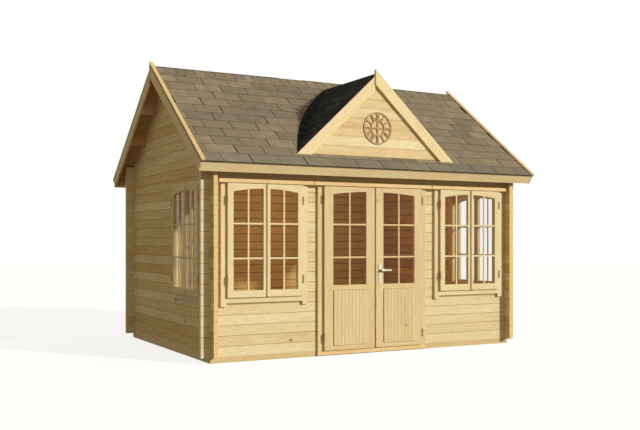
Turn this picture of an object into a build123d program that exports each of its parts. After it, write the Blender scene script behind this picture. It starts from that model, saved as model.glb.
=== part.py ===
from build123d import *
import os
from math import cos, radians, sin, sqrt, tan

# Log cabin of notched logs, with a shingled roof, a cross gable over the double door and a clock dial.
# Units are millimetres. The origin is on the ground at the middle of the plan. The front faces -Y.

# Walls of notched logs
cabin_width = 4000
cabin_depth = 2870
log_thickness = 44
log_height = 111
log_groove = 5
log_end = 105
wall_courses = 20
opening_top = 1925

# Base and floor
bearer_height = 60
bearer_width = 60
bearer_joint = 0.5
joist_width = 44
joist_count = 8
floor_thickness = 19

# Main roof
roof_pitch = 36.2
eave_overhang = 248
gable_overhang = 200
deck_thickness = 19
shingle_thickness = 12
shingle_step = 6
shingle_courses = 12
seat_bevel = 4
purlin_width = 44
purlin_height = 145
inner_purlin_offset = 430
outer_purlin_offset = 890
trim_thickness = 20
trim_depth = 118
edge_strip_width = 44
edge_strip_thickness = 16
ridge_run_past = 70
ridge_lap = 130
ridge_cap_thickness = 6
board_joint = 0.5

# Cross gable
dormer_centre = 25
dormer_width = 2100
dormer_pitch = 43
dormer_front = 92
dormer_board = 19
dormer_deck = 16
dormer_shingle = 10
dormer_trim_depth = 125
dormer_run_past = 42
dormer_lap = 14
flap_thickness = 5
flap_bulge = 108
flap_tuck = 9

# Clock dial
dial_diameter = 375
dial_centre_height = 2594
dial_thickness = 12
dial_rim = 14
dial_numeral_depth = 80
dial_stroke = 8
dial_letter_width = {"I": 10, "V": 22, "X": 22}
dial_star_waist = 17
dial_sides = 48

# Windows
window_width = 1027
window_offset = 1376.5
side_window_setback = 640
window_bottom = 633
casing_foot = 595
frame_top = 1955
casing_proud = 30
frame_lap = 25
casing_width = 63
liner_lap = 20
inner_casing = 12
sash_gap = 3
meeting_gap = 6
sash_proud = 60
sash_thickness = 42
sash_bottom = 691
sash_top = 1910
sash_stile = 65
covering_stile = 44
covered_stile = 30
bottom_rail = 74
glass_top = 1822
arch_rise = 36
bar_width = 18
bar_depth = 14
bar_heights = (1108, 1480)
glass_thickness = 4
glass_recess = 18

# Double door
door_width = 1460
leaf_gap = 7
running_gap = 5
leaf_thickness = 40
leaf_proud = 58
leaf_bottom = 63
hinge_stile = 112
lock_stile = 112
door_glass_bottom = 795
lock_rail_bottom = 740
panel_bottom = 112
panel_recess = 10
panel_thickness = 16
panel_board = 49
panel_groove = 3
threshold_bottom = 10
threshold_top = 84

# Head trims
head_trim_height = 40
head_trim_depth = 45
head_trim_gap = 11
head_trim_end = 75

# Hinges
hinge_radius = 7
hinge_length = 92
hinge_flange = 2
hinge_pin_radius = 3.5
hinge_clearance = 0.4
hinge_sides = 12
door_hinge_heights = (205, 1770)
window_hinge_heights = (877, 1737)

# Lever handle
handle_inset = 66
handle_height = 955
plate_width = 33
plate_height = 230
plate_drop = 43
plate_thickness = 6
neck_radius = 9
spindle_clearance = 0.5
lever_length = 130
lever_height = 18
lever_thickness = 10
lever_standoff = 42
lever_chamfer = 4

# Worked-out places
half_width = cabin_width / 2
half_depth = cabin_depth / 2
wall_top = bearer_height + wall_courses * log_height
slope = tan(radians(roof_pitch))
steep = tan(radians(dormer_pitch))
cover_rise = (deck_thickness + shingle_thickness) / cos(radians(roof_pitch))
roof_half_length = half_width + gable_overhang
eave_reach = half_depth + eave_overhang
plate_height_outside = wall_top - seat_bevel
under_ridge = plate_height_outside + slope * half_depth
cover_ridge = under_ridge + cover_rise

parts = {}


def block(x, y, z):
    """A box between two values on each axis."""
    size = Box(x[1] - x[0], y[1] - y[0], z[1] - z[0])
    return Pos((x[0] + x[1]) / 2, (y[0] + y[1]) / 2, (z[0] + z[1]) / 2) * size


def along_x(outline, x_from, x_to):
    """An outline of (y, z) points pulled along X."""
    face = make_face(Polyline(*[(x_from, y, z) for y, z in outline], close=True))
    return extrude(face, amount=x_to - x_from, dir=(1, 0, 0))


def along_y(outline, y_from, y_to):
    """An outline of (x, z) points pulled along Y."""
    face = make_face(Polyline(*[(x, y_from, z) for x, z in outline], close=True))
    return extrude(face, amount=y_to - y_from, dir=(0, 1, 0))


def along_z(outline, z_from, z_to):
    """An outline of (x, y) points pulled upwards."""
    face = make_face(Polyline(*[(x, y, z_from) for x, y in outline], close=True))
    return extrude(face, amount=z_to - z_from, dir=(0, 0, 1))


def group(solids):
    """Separate solids kept together under one name."""
    return Compound([piece for shape in solids for piece in shape.solids()])


# Log walls: a stack of logs has a V groove on its outer face at each joint and is planed flat inside


def stack_outline(thickness, groove, bottom, top, first_joint, pitch):
    """Cross-section of a stack of logs, as (depth, height) points from its outer face inwards."""
    joints = []
    joint = first_joint
    while joint < top - groove:
        if joint > bottom + groove:
            joints.append(joint)
        joint += pitch
    outer = [(0, bottom)]
    for z in joints:
        outer += [(0, z - groove), (groove, z), (0, z + groove)]
    outer.append((0, top))
    return outer + [(thickness, top), (thickness, bottom)]


def corner_notches(columns, first_joint):
    """What the crossing logs take out of a wall, half a log high around each of its joints."""
    cutters = []
    for x, y in columns:
        joint = first_joint
        while joint < cover_ridge:
            cutters.append(block(x, y, (joint - log_height / 4, joint + log_height / 4)))
            joint += log_height
    return cutters


left_column = (-half_width, -half_width + log_thickness)
right_column = (half_width - log_thickness, half_width)
front_column = (-half_depth, -half_depth + log_thickness)
back_column = (half_depth - log_thickness, half_depth)
side_first_joint = bearer_height + log_height / 2
gable_bottom = side_first_joint + (wall_courses - 1) * log_height

roof_gap = 2 * cover_ridge
over_roof = along_x(
    [(-roof_gap, under_ridge - slope * roof_gap), (0, under_ridge),
     (roof_gap, under_ridge - slope * roof_gap), (roof_gap, roof_gap), (-roof_gap, roof_gap)],
    -roof_half_length, roof_half_length)


def long_wall(y_outer, inward):
    """A front or back wall of whole logs, crossed by the side walls near both ends."""
    outline = stack_outline(log_thickness, log_groove, bearer_height, wall_top, bearer_height, log_height)
    outline = [(y_outer + inward * depth, z) for depth, z in outline]
    wall = along_x(outline, -half_width - log_end, half_width + log_end)
    row = front_column if inward > 0 else back_column
    notches = corner_notches([(left_column, row), (right_column, row)], bearer_height)
    return wall - notches - over_roof


def side_wall(x_outer, inward, bottom, top):
    """A side wall or gable whose logs lie half a log higher than those they cross."""
    outline = stack_outline(log_thickness, log_groove, bottom, top, side_first_joint, log_height)
    outline = [(x_outer + inward * depth, z) for depth, z in outline]
    wall = along_y(outline, -half_depth - log_end, half_depth + log_end)
    row = left_column if inward > 0 else right_column
    notches = corner_notches([(row, front_column), (row, back_column)], side_first_joint)
    return wall - notches - over_roof


# Window openings, cut where the frames go
opening_half = window_width / 2 - frame_lap
opening_bottom = window_bottom + frame_lap
side_window_y = -half_depth + side_window_setback
deep = (-2 * log_thickness, 2 * log_thickness)


def front_hole(x_centre):
    """The hole for a front window."""
    return block((x_centre - opening_half, x_centre + opening_half),
                 (-half_depth + deep[0], -half_depth + deep[1]), (opening_bottom, opening_top))


def side_hole(x_outer):
    """The hole for a side window."""
    y_reach = (side_window_y - opening_half, side_window_y + opening_half)
    return block((x_outer + deep[0], x_outer + deep[1]), y_reach, (opening_bottom, opening_top))


door_hole_half = door_width / 2 - frame_lap
front_wall = long_wall(-half_depth, 1)
front_reach = (-half_depth - log_end, -half_depth + log_thickness)
whole_height = (0, wall_top + log_height)
left_of_door = block((-half_width - log_end, -door_hole_half), front_reach, whole_height)
right_of_door = block((door_hole_half, half_width + log_end), front_reach, whole_height)
over_door = block((-door_hole_half, door_hole_half), front_reach, (opening_top, wall_top + log_height))
parts["front_wall_left"] = (front_wall & left_of_door) - front_hole(-window_offset)
parts["front_wall_right"] = (front_wall & right_of_door) - front_hole(window_offset)
parts["front_wall_over_door"] = front_wall & over_door
parts["back_wall"] = long_wall(half_depth, -1)
parts["left_wall"] = side_wall(-half_width, 1, bearer_height, gable_bottom) - side_hole(-half_width)
parts["right_wall"] = side_wall(half_width, -1, bearer_height, gable_bottom) - side_hole(half_width)

# Purlins: they carry the roof boards, pass through both gables and end behind the barge boards
purlin_reach = roof_half_length - trim_thickness


def purlin(y_centre):
    """A purlin on edge, its top planed to the slope above it."""
    low_y = y_centre - purlin_width / 2
    high_y = y_centre + purlin_width / 2
    bottom = under_ridge - slope * max(abs(low_y), abs(high_y)) - purlin_height
    outline = [(low_y, bottom), (high_y, bottom), (high_y, under_ridge - slope * abs(high_y))]
    if y_centre == 0:
        outline.append((0, under_ridge))
    outline.append((low_y, under_ridge - slope * abs(low_y)))
    return along_x(outline, -purlin_reach, purlin_reach)


ridge_purlin = purlin(0)
front_purlins = [purlin(-inner_purlin_offset), purlin(-outer_purlin_offset)]
back_purlins = [purlin(inner_purlin_offset), purlin(outer_purlin_offset)]
all_purlins = [ridge_purlin] + front_purlins + back_purlins
parts["ridge_purlin"] = ridge_purlin
parts["front_purlins"] = group(front_purlins)
parts["back_purlins"] = group(back_purlins)
parts["left_gable"] = side_wall(-half_width, 1, gable_bottom, cover_ridge) - all_purlins
parts["right_gable"] = side_wall(half_width, -1, gable_bottom, cover_ridge) - all_purlins

# Base: bearers flush with the walls, joists between them and the floor on top
bearer = (0, bearer_height)
long_bearer = (-half_width, half_width)
short_bearer = (-half_depth + bearer_width + bearer_joint, half_depth - bearer_width - bearer_joint)
parts["perimeter_bearers"] = group([
    block(long_bearer, (-half_depth, -half_depth + bearer_width), bearer),
    block(long_bearer, (half_depth - bearer_width, half_depth), bearer),
    block((-half_width, -half_width + bearer_width), short_bearer, bearer),
    block((half_width - bearer_width, half_width), short_bearer, bearer)])
joist_pitch = (cabin_width - 2 * bearer_width) / (joist_count + 1)
joists = []
for number in range(joist_count):
    joist_x = -half_width + bearer_width + (number + 1) * joist_pitch
    joists.append(block((joist_x - joist_width / 2, joist_x + joist_width / 2), short_bearer, bearer))
parts["floor_joists"] = group(joists)
room_half_width = half_width - log_thickness
room_half_depth = half_depth - log_thickness
floor_top = bearer_height + floor_thickness
parts["floor"] = block((-room_half_width, room_half_width), (-room_half_depth, room_half_depth),
                       (bearer_height, floor_top))

# Main roof, drawn on the front slope and mirrored for the back one
tilt = radians(roof_pitch)


def slope_point(run, rise):
    """The (y, z) point `run` up the front slope from the eave and `rise` above the boards' underside."""
    eave_z = under_ridge - slope * eave_reach
    y = -eave_reach + run * cos(tilt) - rise * sin(tilt)
    return y, eave_z + run * sin(tilt) + rise * cos(tilt)


def at_ridge(rise):
    """The point of a layer `rise` above the boards' underside on the ridge line."""
    return 0, under_ridge + rise / cos(tilt)


def slope_layer(low, high, reach, eave_run=0):
    """A flat layer of the front slope, square at the eave and plumb at the ridge."""
    outline = [slope_point(eave_run, low), slope_point(eave_run, high), at_ridge(high), at_ridge(low)]
    return along_x(outline, -reach, reach)


def other_slope(shape):
    """The same piece on the back slope."""
    return mirror(shape, about=Plane.XZ)


cover = deck_thickness + shingle_thickness
deck_reach = roof_half_length - trim_thickness
front_deck = slope_layer(0, deck_thickness, deck_reach, trim_thickness)
parts["front_roof_boards"] = front_deck
parts["back_roof_boards"] = other_slope(front_deck)

# Shingles: each course is thick at its butt and thins out under the next one
slope_length = eave_reach / cos(tilt) + cover * tan(tilt)
exposure = slope_length / shingle_courses
shingle_outline = [slope_point(-trim_thickness / 2, deck_thickness)]
for course in range(shingle_courses):
    butt = course * exposure - trim_thickness / 2
    shingle_outline.append(slope_point(butt, cover))
    if course < shingle_courses - 1:
        shingle_outline.append(slope_point(butt + exposure, cover - shingle_step))
shingle_outline += [at_ridge(cover - shingle_step), at_ridge(deck_thickness)]
front_shingles = along_x(shingle_outline, -roof_half_length, roof_half_length)
parts["front_shingles"] = front_shingles
parts["back_shingles"] = other_slope(front_shingles)

# Fascias close the eaves between the barge boards, square to the slope
fascia = along_x(
    [slope_point(0, deck_thickness - trim_depth), slope_point(0, deck_thickness),
     slope_point(trim_thickness, deck_thickness), slope_point(trim_thickness, deck_thickness - trim_depth)],
    -deck_reach, deck_reach)
parts["front_fascia"] = fascia
parts["back_fascia"] = other_slope(fascia)


def run_past(rise):
    """The end of a front board that runs past the ridge."""
    return ridge_run_past, under_ridge + rise / cos(tilt) + slope * ridge_run_past


def stop_short(rise):
    """The end of a back board that stops at the board it meets."""
    y = ridge_run_past + board_joint
    return y, under_ridge + rise / cos(tilt) - slope * y


def back_point(run, rise):
    """A point of the back slope, given as on the front one."""
    y, z = slope_point(run, rise)
    return -y, z


# Barge boards close the gables. The front ones run past the ridge as a small peak
barge_low = deck_thickness - trim_depth
front_barge = [slope_point(0, barge_low), slope_point(0, deck_thickness),
               run_past(deck_thickness), run_past(barge_low)]
back_barge = [back_point(0, barge_low), back_point(0, deck_thickness),
              stop_short(deck_thickness), stop_short(barge_low)]


def barge_pair(x_outer, inward):
    """The two barge boards of one gable."""
    x_inner = x_outer + inward * trim_thickness
    low_x = min(x_outer, x_inner)
    high_x = max(x_outer, x_inner)
    return [along_x(front_barge, low_x, high_x), along_x(back_barge, low_x, high_x)]


# Edge strips cover the ends of the shingles on top of the barge boards
strip_top = cover + edge_strip_thickness
front_strip = [slope_point(-trim_thickness / 2, cover), slope_point(-trim_thickness / 2, strip_top),
               run_past(strip_top), run_past(cover)]
back_strip = [back_point(-trim_thickness / 2, cover), back_point(-trim_thickness / 2, strip_top),
              stop_short(strip_top), stop_short(cover)]


def strip_pair(x_outer, inward):
    """The two edge strips of one gable."""
    x_inner = x_outer + inward * edge_strip_width
    low_x = min(x_outer, x_inner)
    high_x = max(x_outer, x_inner)
    return [along_x(front_strip, low_x, high_x), along_x(back_strip, low_x, high_x)]


# Where a barge board runs past the ridge it takes the place of the back slope's shingles
parts["left_barge_boards"] = group(barge_pair(-roof_half_length, 1))
parts["right_barge_boards"] = group(barge_pair(roof_half_length, -1))
barges = barge_pair(-roof_half_length, 1) + barge_pair(roof_half_length, -1)
strips = strip_pair(-roof_half_length, 1) + strip_pair(roof_half_length, -1)
parts["back_shingles"] = parts["back_shingles"] - [barges[0], barges[2]] - strips
parts["left_edge_strips"] = group([strip - barges for strip in strip_pair(-roof_half_length, 1)])
parts["right_edge_strips"] = group([strip - barges for strip in strip_pair(roof_half_length, -1)])

# Ridge shingles are folded over both slopes between the edge strips
cap_outline = []
for rise in (cover, cover + ridge_cap_thickness):
    side = [(-ridge_lap * cos(tilt), at_ridge(rise)[1] - slope * ridge_lap * cos(tilt)), at_ridge(rise),
            (ridge_lap * cos(tilt), at_ridge(rise)[1] - slope * ridge_lap * cos(tilt))]
    cap_outline += side if rise == cover else side[::-1]
cap_reach = roof_half_length - edge_strip_width
parts["ridge_shingles"] = along_x(cap_outline, -cap_reach, cap_reach)

# Cross gable: its front stands on the main slope above the door
dormer_half = dormer_width / 2
dormer_y = -half_depth - dormer_front


def cover_height(y):
    """Height of the shingles' upper surface over a line parallel to the ridge."""
    return cover_ridge - slope * abs(y)


dormer_base = cover_height(dormer_y)
dormer_peak = dormer_base + steep * dormer_half
dormer_end = -(cover_ridge - dormer_peak) / slope
below_cover = along_x(
    [(0, cover_ridge), (-roof_gap, cover_ridge - slope * roof_gap), (-roof_gap, -roof_gap), (0, -roof_gap)],
    -roof_half_length, roof_half_length)
front_edge = dormer_y + trim_thickness


def steep_rise(thickness):
    """Plumb height of a layer on the cross gable's slopes."""
    return thickness / cos(radians(dormer_pitch))


def dormer_slab(side, top_drop, thickness, y_from):
    """A layer of one slope of the cross gable, let down on to the main roof."""
    top = dormer_peak - steep_rise(top_drop)
    bottom = top - steep_rise(thickness)
    reach = side * dormer_half * 2
    outline = [(dormer_centre, bottom), (dormer_centre, top),
               (dormer_centre + reach, top - steep * abs(reach)),
               (dormer_centre + reach, bottom - steep * abs(reach))]
    return along_y(outline, y_from, 0) - below_cover


# The slope's flap lies on the main roof beyond the valley, with a bowed edge
slope_normal = (0, -sin(tilt), cos(tilt))
roof_plane = Plane(origin=(dormer_centre, dormer_y, dormer_base), x_dir=(1, 0, 0), z_dir=slope_normal)
valley_length = (dormer_end - dormer_y) / cos(tilt)


def valley_flap(side):
    """The part of a slope's shingles that is dressed over the main roof."""
    foot = (side * (dormer_half - flap_tuck), 0)
    head = (-side * flap_tuck, valley_length)
    reach = sqrt(dormer_half ** 2 + valley_length ** 2)
    middle = (side * (dormer_half / 2 + flap_bulge * valley_length / reach),
              valley_length / 2 + flap_bulge * dormer_half / reach)
    outline = Line(head, foot) + ThreePointArc(foot, middle, head)
    flap = extrude(roof_plane * make_face(outline), amount=flap_thickness, dir=slope_normal)
    side_reach = sorted((dormer_centre, dormer_centre + side * cabin_width))
    return flap & block(side_reach, (front_edge, 0), (0, roof_gap))


def dormer_barge(side, past, y_front):
    """A barge board of the cross gable; `past` is how far it runs beyond the peak."""
    low = steep_rise(dormer_trim_depth)
    end_x = dormer_centre - side * past
    end_z = dormer_peak + steep * past
    foot_x = dormer_centre + side * dormer_width
    foot_z = dormer_peak - steep * dormer_width
    outline = [(foot_x, foot_z), (end_x, end_z), (end_x, end_z - low), (foot_x, foot_z - low)]
    return along_y(outline, y_front, front_edge) - below_cover


# The right board is the thicker one and laps past the left one at the peak
parts["dormer_barge_right"] = dormer_barge(1, dormer_run_past, dormer_y - dormer_lap)
parts["dormer_barge_left"] = dormer_barge(-1, -dormer_run_past - board_joint, dormer_y)

covering = dormer_shingle + dormer_deck
for side, name in ((-1, "left"), (1, "right")):
    shingle_slab = dormer_slab(side, 0, dormer_shingle, front_edge)
    under_shingles = dormer_slab(side, dormer_shingle, dormer_half, front_edge)
    flap = valley_flap(side) - parts[f"dormer_barge_{name}"] - under_shingles
    parts[f"dormer_shingles_{name}"] = shingle_slab + flap
    parts[f"dormer_roof_{name}"] = dormer_slab(side, dormer_shingle, dormer_deck, front_edge)

panel_peak = dormer_peak - steep_rise(covering)
panel_half = (panel_peak - dormer_base) / steep
panel_joint = dormer_base + log_height
panel_outline = stack_outline(dormer_board, panel_groove, dormer_base, dormer_peak, panel_joint, log_height)
panel_boards = along_x([(front_edge + depth, z) for depth, z in panel_outline],
                       dormer_centre - dormer_half, dormer_centre + dormer_half)
panel_shape = along_y([(dormer_centre - panel_half, dormer_base), (dormer_centre + panel_half, dormer_base),
                       (dormer_centre, panel_peak)], dormer_y - dormer_board, front_edge + 2 * dormer_board)
parts["dormer_gable"] = (panel_boards & panel_shape) - below_cover


# Clock dial: a cut-out plate of two rings, twelve numerals and a four-pointed star
dial_radius = dial_diameter / 2
dial_middle = (dormer_centre, front_edge, dial_centre_height)
dial_plane = Plane(origin=dial_middle, x_dir=(1, 0, 0), z_dir=(0, -1, 0))
inner_ring = dial_radius - dial_rim - dial_numeral_depth
numerals = ("I", "II", "III", "IV", "V", "VI", "VII", "VIII", "IX", "X", "XI", "XII")
hour_turn = 360 / len(numerals)


def stroke(x_low, x_high):
    """A stroke from the inner ring to the rim, its foot at x_low and its head at x_high."""
    low = inner_ring - dial_rim / 2
    high = dial_radius - dial_rim / 2
    half = dial_stroke / 2
    return make_face(Polyline((x_low - half, low), (x_low + half, low), (x_high + half, high),
                              (x_high - half, high), close=True))


def numeral(text):
    """The strokes of one numeral, centred above the dial's middle."""
    width = sum(dial_letter_width[letter] for letter in text)
    x = -width / 2
    faces = []
    for letter in text:
        centre = x + dial_letter_width[letter] / 2
        spread = dial_letter_width[letter] / 2 - dial_stroke / 2
        if letter == "I":
            faces.append(stroke(centre, centre))
        if letter == "V":
            faces += [stroke(centre, centre - spread), stroke(centre, centre + spread)]
        if letter == "X":
            faces += [stroke(centre + spread, centre - spread), stroke(centre - spread, centre + spread)]
        x += dial_letter_width[letter]
    return faces




def dial_ring(radius):
    """One ring of the dial, in short straight cuts as a saw leaves it."""
    return RegularPolygon(radius, dial_sides) - RegularPolygon(radius - dial_rim, dial_sides)


dial_face = dial_ring(dial_radius) + dial_ring(inner_ring)
for hour, text in enumerate(numerals, start=1):
    for face in numeral(text):
        dial_face += Rot(0, 0, -hour_turn * hour) * face
star_points = []
for corner in range(8):
    reach = inner_ring - dial_rim / 2 if corner % 2 == 0 else dial_star_waist
    star_points.append((reach * sin(radians(45 * corner)), reach * cos(radians(45 * corner))))
dial_face += make_face(Polyline(*star_points, close=True))
parts["clock_dial"] = extrude(dial_plane * dial_face, amount=dial_thickness, dir=(0, -1, 0))

# Windows are drawn on a wall whose outer face is the plane y = 0, then set in place
sash_half = window_width / 2 - casing_width - sash_gap
sash_front = -sash_proud
sash_back = sash_front + sash_thickness


def arch_height(x, half_span, rise, spring):
    """Height of the shallow arch over a pair of lights."""
    radius = (half_span ** 2 + rise ** 2) / (2 * rise)
    return spring + rise - radius + sqrt(radius ** 2 - x ** 2)


def light(x_inner, x_outer, bottom, spring, half_span, y_from, y_to):
    """A glazed opening whose head follows the arch of the pair."""
    middle_x = (x_inner + x_outer) / 2
    inner_top = (x_inner, y_from, arch_height(abs(x_inner), half_span, arch_rise, spring))
    middle_top = (middle_x, y_from, arch_height(abs(middle_x), half_span, arch_rise, spring))
    outer_top = (x_outer, y_from, arch_height(abs(x_outer), half_span, arch_rise, spring))
    outline = Polyline(inner_top, (x_inner, y_from, bottom), (x_outer, y_from, bottom), outer_top)
    outline += ThreePointArc(outer_top, middle_top, inner_top)
    return extrude(make_face(outline), amount=y_to - y_from, dir=(0, 1, 0))


def glazing_bars(x_inner, x_outer, bottom, top, y_front):
    """The upright and the two cross bars in front of the glass."""
    middle = (x_inner + x_outer) / 2
    y = (y_front + glass_recess - bar_depth, y_front + glass_recess)
    bars = block((middle - bar_width / 2, middle + bar_width / 2), y, (bottom, top))
    for z in bar_heights:
        bars += block(sorted((x_inner, x_outer)), y, (z - bar_width / 2, z + bar_width / 2))
    return bars


def sash_and_glass(side):
    """One sash of a pair and its pane."""
    meeting = side * meeting_gap / 2
    stile = covering_stile if side > 0 else covered_stile
    outer = side * sash_half
    body = block(sorted((meeting, outer)), (sash_front, sash_back), (sash_bottom, sash_top))
    x_inner = meeting + side * stile
    x_outer = outer - side * sash_stile
    bottom = sash_bottom + bottom_rail
    span = sash_half - sash_stile
    hole = light(x_inner, x_outer, bottom, glass_top, span, sash_front, sash_back)
    y_glass = sash_front + glass_recess
    pane = light(x_inner, x_outer, bottom, glass_top, span, y_glass, y_glass + glass_thickness)
    bars = glazing_bars(x_inner, x_outer, bottom, sash_top, sash_front) & hole
    return body - hole + bars, pane


def ring(half_outer, half_inner, z_outer, z_inner, y):
    """A flat rectangular frame."""
    return block((-half_outer, half_outer), y, z_outer) - block((-half_inner, half_inner), y, z_inner)


def window_frame():
    """Casings on both faces of the wall, joined by a liner with a stop for the sashes."""
    half = window_width / 2
    sash_z = (sash_bottom - sash_gap, sash_top + sash_gap)
    stop_half = sash_half - liner_lap
    stop_z = (sash_bottom + liner_lap, sash_top - liner_lap)
    outer = ring(half, sash_half + sash_gap, (window_bottom, frame_top), sash_z, (-casing_proud, 0))
    for side in (-1, 1):
        edges = sorted((side * half, side * (half - casing_width)))
        outer += block(edges, (-casing_proud, 0), (casing_foot, window_bottom))
    liner = ring(opening_half, stop_half, (opening_bottom, opening_top), stop_z, (0, log_thickness))
    stop = ring(sash_half + sash_gap, stop_half, sash_z, stop_z, (sash_back, 0))
    inner_y = (log_thickness, log_thickness + inner_casing)
    inner = ring(half, stop_half, (window_bottom, frame_top), stop_z, inner_y)
    return outer + liner + stop + inner


def barrel(radius, x, y, z_from, z_to):
    """An upright bar with twelve flats, as hinge knuckles and their pins are drawn."""
    return Pos(x, y, z_from) * extrude(RegularPolygon(radius, hinge_sides), amount=z_to - z_from)


def window_hinge(side, z):
    """A butt hinge between casing and sash, its knuckle proud of the sash."""
    x = side * (sash_half + sash_gap / 2)
    y = sash_front - hinge_radius - hinge_clearance
    knuckle = barrel(hinge_radius, x, y, z - hinge_length / 2, z + hinge_length / 2)
    flange_x = (x - hinge_flange / 2, x + hinge_flange / 2)
    flange = block(flange_x, (y, sash_back), (z - hinge_length / 2, z + hinge_length / 2))
    return knuckle + flange


window_places = {
    "front_left": Pos(-window_offset, -half_depth, 0),
    "front_right": Pos(window_offset, -half_depth, 0),
    "left": Pos(-half_width, side_window_y, 0) * Rot(0, 0, -90),
    "right": Pos(half_width, side_window_y, 0) * Rot(0, 0, 90),
}
frame_shape = window_frame()
left_sash, left_pane = sash_and_glass(-1)
right_sash, right_pane = sash_and_glass(1)
panes = []
hinges = []
for name, place in window_places.items():
    parts[f"{name}_window_frame"] = place * frame_shape
    parts[f"{name}_window_sashes"] = group([place * left_sash, place * right_sash])
    panes += [place * left_pane, place * right_pane]
    for side in (-1, 1):
        hinges += [place * window_hinge(side, z) for z in window_hinge_heights]
parts["window_glass"] = group(panes)
parts["window_hinges"] = group(hinges)

# Head trims keep rain off the front windows and the door
trim_y = (-half_depth - casing_proud - head_trim_depth, -half_depth - casing_proud)
trim_z = (frame_top - head_trim_height, frame_top)
door_trim_half = (door_width / 2 + window_offset - window_width / 2) / 2
door_trim = (-door_trim_half + head_trim_gap / 2, door_trim_half - head_trim_gap / 2)
side_trim = (door_trim_half + head_trim_gap / 2, half_width - head_trim_end)
parts["head_trims"] = group([
    block((-side_trim[1], -side_trim[0]), trim_y, trim_z),
    block(door_trim, trim_y, trim_z),
    block(side_trim, trim_y, trim_z)])

# Door frame: its sides clasp the log ends, and its sill laps over the front bearer
door_half = door_width / 2
leaf_outer = door_half - casing_width - running_gap
leaf_front = -half_depth - leaf_proud
leaf_back = leaf_front + leaf_thickness
stop_front = leaf_back + running_gap
stop_inner = leaf_outer - liner_lap
wall_inside = -half_depth + log_thickness
casing_front = -half_depth - casing_proud
casing_inner = door_half - casing_width

threshold = along_x(
    [(casing_front, threshold_bottom), (-half_depth, threshold_bottom), (-half_depth, bearer_height),
     (wall_inside, bearer_height), (wall_inside, threshold_top), (stop_front, threshold_top),
     (stop_front, leaf_bottom - running_gap), (casing_front, leaf_bottom - running_gap)],
    -door_half, door_half)
threshold -= [block(edge, (-half_depth, wall_inside), (bearer_height, threshold_top))
              for edge in ((-door_half, -door_hole_half), (door_hole_half, door_half))]
parts["door_threshold"] = threshold


def door_side(side):
    """An upright of the door frame."""
    outline = [(door_half, casing_front), (casing_inner, casing_front), (casing_inner, stop_front),
               (stop_inner, stop_front), (stop_inner, wall_inside + inner_casing),
               (door_half, wall_inside + inner_casing), (door_half, wall_inside),
               (door_hole_half, wall_inside), (door_hole_half, -half_depth), (door_half, -half_depth)]
    outline = [(side * x, y) for x, y in outline]
    post = along_z(outline, leaf_bottom - running_gap, frame_top)
    above_opening = block(sorted((side * door_hole_half, side * stop_inner)), (-half_depth, wall_inside),
                          (opening_top, frame_top))
    under_sill = block((-door_half, door_half), (stop_front, half_depth), (0, threshold_top))
    return post - above_opening - under_sill


head_bottom = opening_top - frame_lap
leaf_top = frame_top - head_trim_height - running_gap
lining_face = wall_inside + inner_casing
head = along_x(
    [(casing_front, leaf_top + running_gap), (stop_front, leaf_top + running_gap),
     (stop_front, head_bottom), (lining_face, head_bottom), (lining_face, frame_top),
     (wall_inside, frame_top), (wall_inside, opening_top), (-half_depth, opening_top),
     (-half_depth, frame_top), (casing_front, frame_top)],
    -door_half, door_half)
door_sides = [door_side(-1), door_side(1)]
parts["door_frame_left"] = door_sides[0]
parts["door_frame_right"] = door_sides[1]
beside_opening = [block(edge, (-half_depth, wall_inside), (head_bottom, frame_top))
                  for edge in ((-door_half, -door_hole_half), (door_hole_half, door_half))]
parts["door_frame_head"] = head - door_sides - beside_opening

# Door leaves: stiles and rails, an arched light above and a boarded panel below
leaf_inner = leaf_gap / 2
hinge_x = leaf_outer + running_gap / 2
hinge_y = leaf_front - hinge_radius - hinge_clearance


def leaf_and_glass(side):
    """One door leaf and its pane."""
    x_inner = side * (leaf_inner + lock_stile)
    x_outer = side * (leaf_outer - hinge_stile)
    leaf_y = (leaf_front, leaf_back)
    body = block(sorted((side * leaf_inner, side * leaf_outer)), leaf_y, (leaf_bottom, leaf_top))
    half_span = leaf_outer - hinge_stile
    hole = light(x_inner, x_outer, door_glass_bottom, glass_top, half_span, leaf_front, leaf_back)
    pane_y = (leaf_front + glass_recess, leaf_front + glass_recess + glass_thickness)
    pane = light(x_inner, x_outer, door_glass_bottom, glass_top, half_span, *pane_y)
    bars = glazing_bars(x_inner, x_outer, door_glass_bottom, leaf_top, leaf_front) & hole
    edges = sorted((x_inner, x_outer))
    panel_front = leaf_front + panel_recess
    recess = block(edges, (leaf_front, panel_front), (panel_bottom, lock_rail_bottom))
    back_recess = block(edges, (panel_front + panel_thickness, leaf_back), (panel_bottom, lock_rail_bottom))
    leaf = body - hole + bars - recess - back_recess
    board_count = round((edges[1] - edges[0]) / panel_board)
    board_width = (edges[1] - edges[0]) / board_count
    for number in range(1, board_count):
        groove_x = edges[0] + number * board_width
        leaf -= along_z([(groove_x - panel_groove, panel_front), (groove_x, panel_front + panel_groove),
                         (groove_x + panel_groove, panel_front)], panel_bottom, lock_rail_bottom)
    return leaf, pane


def flange(side, on_leaf, low, high):
    """The plate of a hinge against the edge of the casing or of the leaf."""
    edge = leaf_outer if on_leaf else casing_inner
    thick = edge + hinge_flange if on_leaf else edge - hinge_flange
    return block(sorted((side * edge, side * thick)), (hinge_y, leaf_back - hinge_radius), (low, high))


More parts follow.
